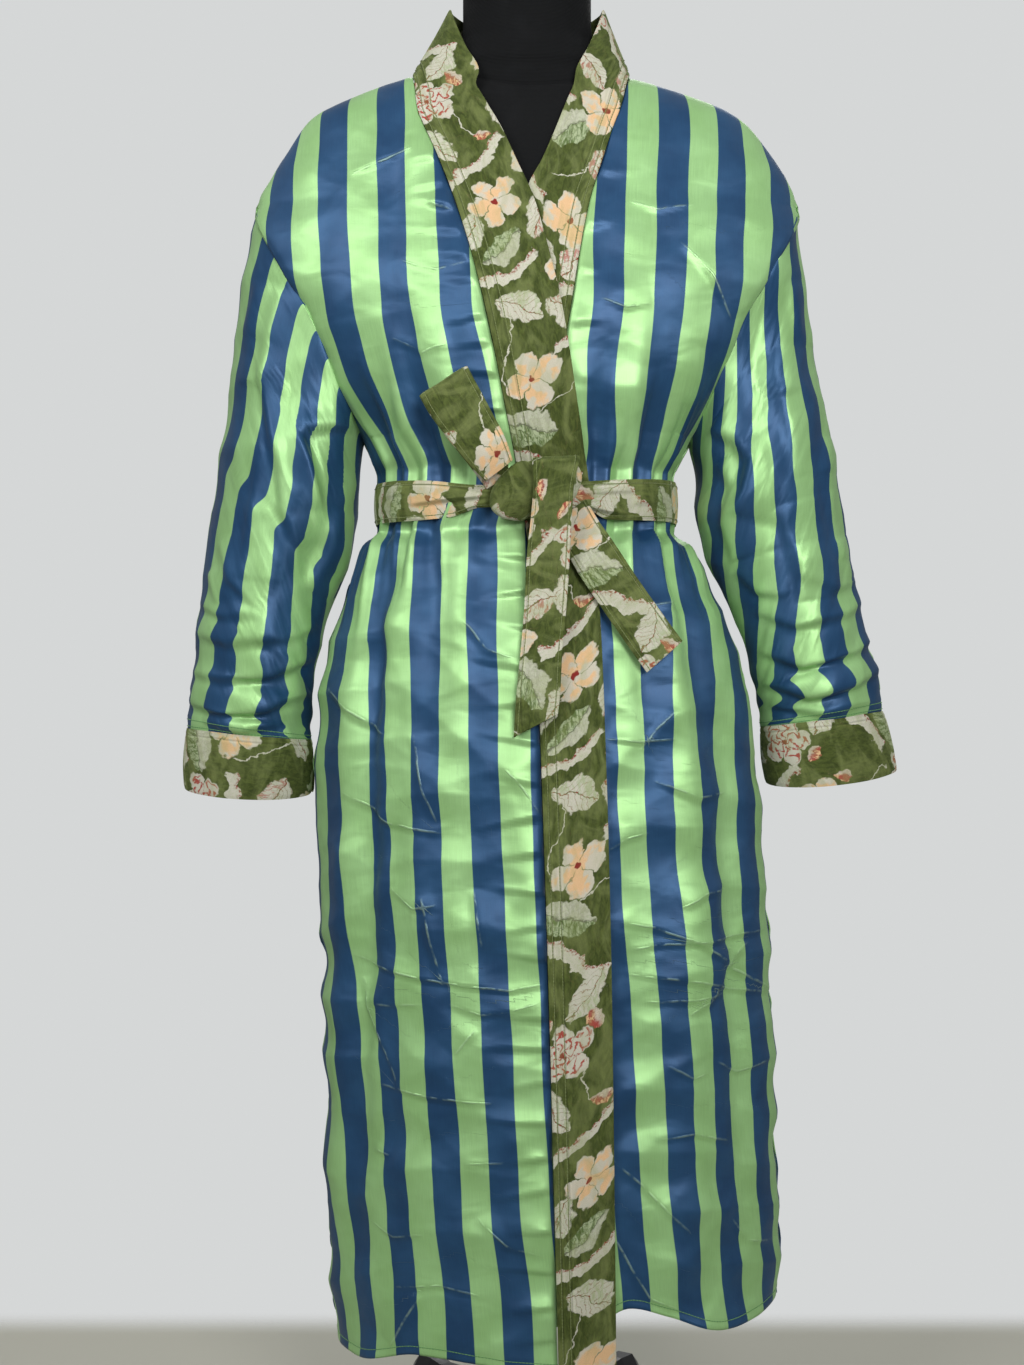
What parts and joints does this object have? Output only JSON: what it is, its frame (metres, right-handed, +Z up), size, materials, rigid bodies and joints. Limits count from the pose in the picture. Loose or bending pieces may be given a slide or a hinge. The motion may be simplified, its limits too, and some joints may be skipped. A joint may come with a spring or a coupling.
{
  "type": "kimono robe on dress form with stand",
  "caption": "Ankle-length striped satin kimono robe with a floral velvet band, cuffs and tied belt, worn by a limbless dress form on a pole stand.",
  "frame": {"origin": "centre of the stand hub's flat underside, on the floor, under the axis of the dress form", "axes": "+Z up, -Y towards the front of the robe, +X towards the wearer's left"},
  "size_m": [0.713, 0.3574, 1.468],
  "materials": {
    "striped_satin": "glossy satin woven in even vertical stripes of light green and navy blue",
    "floral_velvet": "matt olive velvet printed with peach flowers, pale leaves and branches",
    "form_black": "smooth black shop dress form",
    "stand_steel": "black painted steel"
  },
  "bodies": {
    "root": {"front_over": "striped_satin", "front_under": "striped_satin", "back": "striped_satin", "sleeve_right": "striped_satin", "sleeve_left": "striped_satin", "cuff_right": "floral_velvet", "cuff_left": "floral_velvet", "band_over": "floral_velvet", "band_under": "floral_velvet", "belt_waist": "floral_velvet", "belt_knot": "floral_velvet", "belt_loop": "floral_velvet", "belt_tail_centre": "floral_velvet", "belt_tail_side": "floral_velvet", "form_torso": "form_black", "form_neck_cap": "form_black", "stand_pole": "stand_steel", "stand_hub": "stand_steel", "stand_foot_1": "stand_steel", "stand_foot_2": "stand_steel", "stand_foot_3": "stand_steel", "stand_foot_4": "stand_steel", "stand_foot_5": "stand_steel"}
  },
  "joints": []
}
